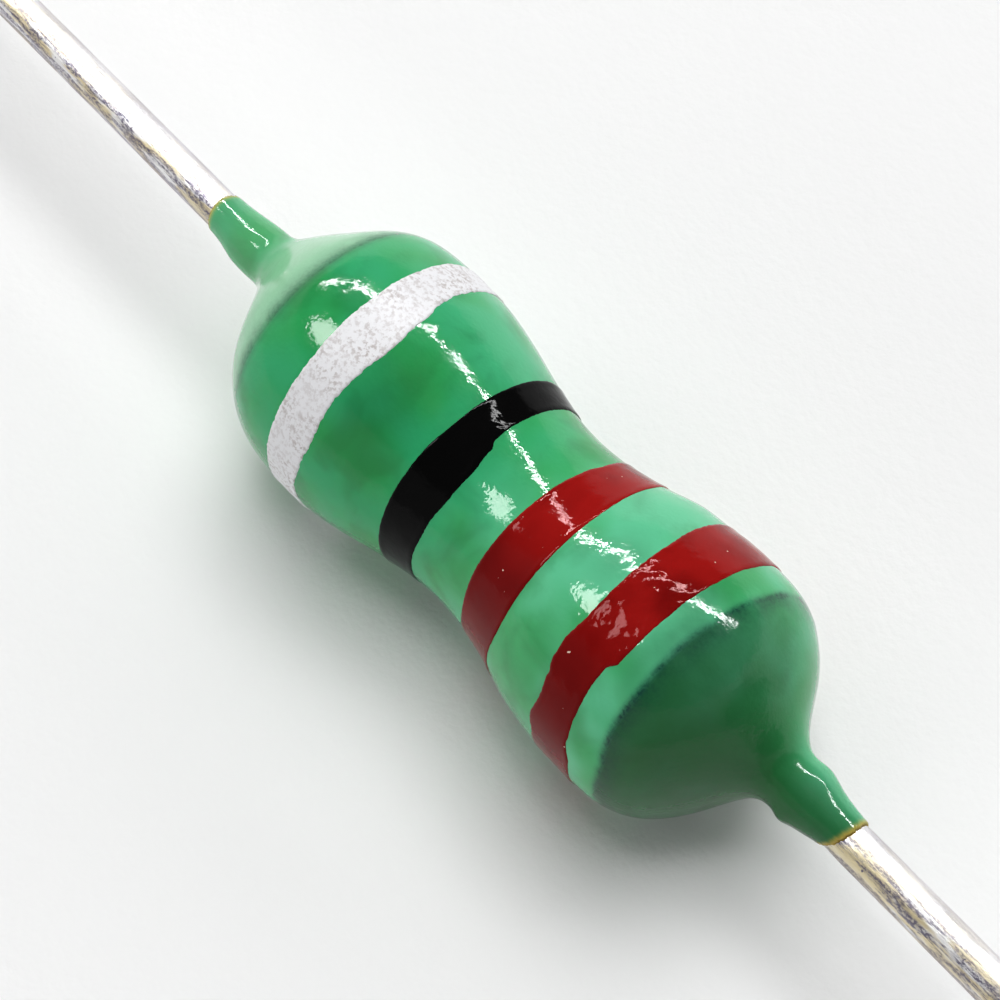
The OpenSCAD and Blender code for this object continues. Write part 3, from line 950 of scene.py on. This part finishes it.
# Each finish: its nodes, light tone, dark tone, size of the clouds in mm, roughness, metallic
HIDDEN = {
    "ferrite": (["ferrite_core"], (0.05, 0.05, 0.055), (0.025, 0.025, 0.028), 0.12, 0.6, 0.0),
    "enamelled_copper": (["copper_winding"], (0.6, 0.24, 0.08), (0.5, 0.16, 0.05), 0.3, 0.28, 0.8),
    "glue": (["digit_glue", "tolerance_glue"], (0.6, 0.42, 0.13), (0.5, 0.32, 0.08), 0.2, 0.25, 0.0),
    "solder": (
        ["digit_solder", "tolerance_solder"], (0.6, 0.61, 0.63), (0.5, 0.5, 0.52), 0.1, 0.35, 1.0),
}


def speckled(light, dark, size, roughness, metallic):
    """A recipe for a plain solid in two tones."""

    def make(recipe):
        clouds = recipe.noise(size * MM, detail=3)
        colour = recipe.mix(clouds.between(0.35, 0.65), light, dark)
        recipe.surface(Base_Color=colour, Roughness=roughness, Metallic=metallic,
                       Normal=recipe.raised(clouds, HIDDEN_GRAIN))

    return make


for name, (members, *look) in HIDDEN.items():
    finish(name, [nodes[member] for member in members], speckled(*look))

# %% [markdown]
# ## The table
#
# The part lies on a sheet of white card. Its grain is felt more than seen, and it
# carries the part's shadow. The lamps reach only the middle of it, so farther out
# it turns to the white of the room for the camera.

# %% Table
TABLE_HALF = 1.2
CARD = (0.9, 0.9, 0.9)
CARD_FADES = (45 * MM, 160 * MM)
table_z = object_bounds()[0].z
table_mesh = bpy.data.meshes.new("table")
square = np.array([(-1, -1), (1, -1), (1, 1), (-1, 1)]) * TABLE_HALF
table_mesh.from_pydata(np.column_stack([square, np.full(4, table_z)]), [], [(0, 1, 2, 3)])
table = bpy.data.objects.new("table", table_mesh)
bpy.context.scene.collection.objects.link(table)


def card(recipe):
    grain = recipe.noise(0.25 * MM, detail=4, roughness=0.6)
    away = recipe.measure("LENGTH", recipe.spot())
    seen = recipe.node("ShaderNodeLightPath", output="Is Camera Ray")
    recipe.surface(seen * away.between(*CARD_FADES), Base_Color=CARD, Roughness=0.9,
                   Normal=recipe.raised(grain, 0.012 * MM), Specular_IOR_Level=0.1)


finish("card", [table], card)
print("the table lies at z", round(table_z / MM, 3), "mm")

# %% [markdown]
# ## Light
#
# A gloss is only as good as what it reflects. The room is a cove: pale walls rise
# from the table for a third of the way up and end in a soft edge, the ceiling above
# them is dark, and so is a gap in the walls at the near end. The cones at the ends
# mirror the whole room, so the edge of the cove draws the curved folds seen on
# them. Rays that light a matt surface get only a share of the room, and the camera
# itself sees white beyond the table.

# %% Room
COVE_BRIGHT = 1.1
COVE_DIM = 0.5
CEILING_DARK = 0.12
COVE_EDGE = (0.4, 0.52)
ROOM_FILL = 0.12
GAP_EDGE = (0.92, 0.97)
BRIGHT_SIDE = (-0.35, 0.9, 0.0)
COVE_TILT = (0.0, 0.12, 1.0)
GAP_SIDE = (0.966, 0.259, 0.0)


def room(recipe):
    direction = recipe.node("ShaderNodeTexCoord", output="Generated")
    facing = recipe.measure("DOT_PRODUCT", direction, BRIGHT_SIDE)
    height = recipe.measure("DOT_PRODUCT", direction, COVE_TILT)
    gap = recipe.measure("DOT_PRODUCT", direction, GAP_SIDE)
    cove = facing.between(-0.5, 0.5, COVE_DIM, COVE_BRIGHT) - CEILING_DARK
    wall = height.between(*COVE_EDGE, 1.0, 0.0) * gap.between(*GAP_EDGE, 1.0, 0.0)
    seen = recipe.node("ShaderNodeLightPath", output="Is Camera Ray")
    mirrored = recipe.node("ShaderNodeLightPath", output="Is Glossy Ray")
    share = ROOM_FILL + (1 - ROOM_FILL) * mirrored
    strength = seen + (1 - seen) * (CEILING_DARK + cove * wall) * share
    shown = recipe.node("ShaderNodeBackground", {}, {"Color": (1.0, 1.0, 1.0), "Strength": strength})
    recipe.node("ShaderNodeOutputWorld", {}, {"Surface": shown})


world = bpy.data.worlds.new("room")
bpy.context.scene.world = world
room(Recipe(world))
print("the room has", len(world.node_tree.nodes), "nodes")

# %% [markdown]
# ## Lamps
#
# Gloss and matt light are kept apart. A window and a long tube show only in
# reflections, and draw the small bright shapes on the epoxy. Softer lamps, which no
# reflection shows, light the colours and make the shadow. Real lamps do both at
# once, but then a change to a highlight would also change every colour.

# %% Lamps
WINDOW_SIDE = (-0.65, -0.48, 1.0)
WINDOW_RUN = (0.7, 0.7, 0.0)
TUBE_SIDE = (-0.228, 0.272, 0.499)
TUBE_RUN = (0.71, 0.52, 0.27)
ALONG_X = (1.0, 0.0, 0.0)
# Each lamp: direction from the part, distance, direction of its width, width, height, radiance
MIRRORED_LAMPS = {
    "window": (WINDOW_SIDE, 0.6, WINDOW_RUN, 0.17, 0.14, 22.0),
    "tube": (TUBE_SIDE, 0.6, TUBE_RUN, 0.92, 0.026, 85.0),
}
MATT_LAMPS = {
    "key": (TUBE_SIDE, 0.6, TUBE_RUN, 0.6, 0.3, 2.2),
    "high": ((-0.1, 0.25, 0.8), 0.6, ALONG_X, 0.4, 0.4, 3.55),
    "overhead": ((0.0, -0.1, 1.0), 0.6, ALONG_X, 0.15, 0.15, 7.0),
    "window_fill": (WINDOW_SIDE, 0.6, ALONG_X, 0.35, 0.35, 1.4),
    "left_wall": ((-0.2, -1.0, 0.25), 0.8, ALONG_X, 1.2, 0.3, 1.9),
    "right_wall": ((-0.1, 1.0, 0.45), 0.8, ALONG_X, 1.4, 0.4, 1.3),
}


def lamp(name, side, distance, run, wide, high, radiance):
    """A flat lamp on one side of the part, facing it, with its width along the
    run. Its power is its radiance times its area times pi."""
    data = bpy.data.lights.new(name, "AREA")
    data.shape = "RECTANGLE"
    data.size, data.size_y = wide, high
    data.energy = radiance * wide * high * np.pi
    made = bpy.data.objects.new(name, data)
    bpy.context.scene.collection.objects.link(made)
    facing = Vector(side).normalized()
    run = Vector(run)
    run = (run - run.dot(facing) * facing).normalized()
    turn = Matrix((run, facing.cross(run), facing)).transposed().to_4x4()
    made.matrix_world = Matrix.Translation(facing * distance) @ turn
    return made


for name, build in MIRRORED_LAMPS.items():
    lamp(name, *build).visible_diffuse = False
for name, build in MATT_LAMPS.items():
    lamp(name, *build).visible_glossy = False
print("lamps:", *MIRRORED_LAMPS, *MATT_LAMPS)

# No film curve: a white card that is lit to white comes out white
bpy.context.scene.view_settings.view_transform = "Standard"
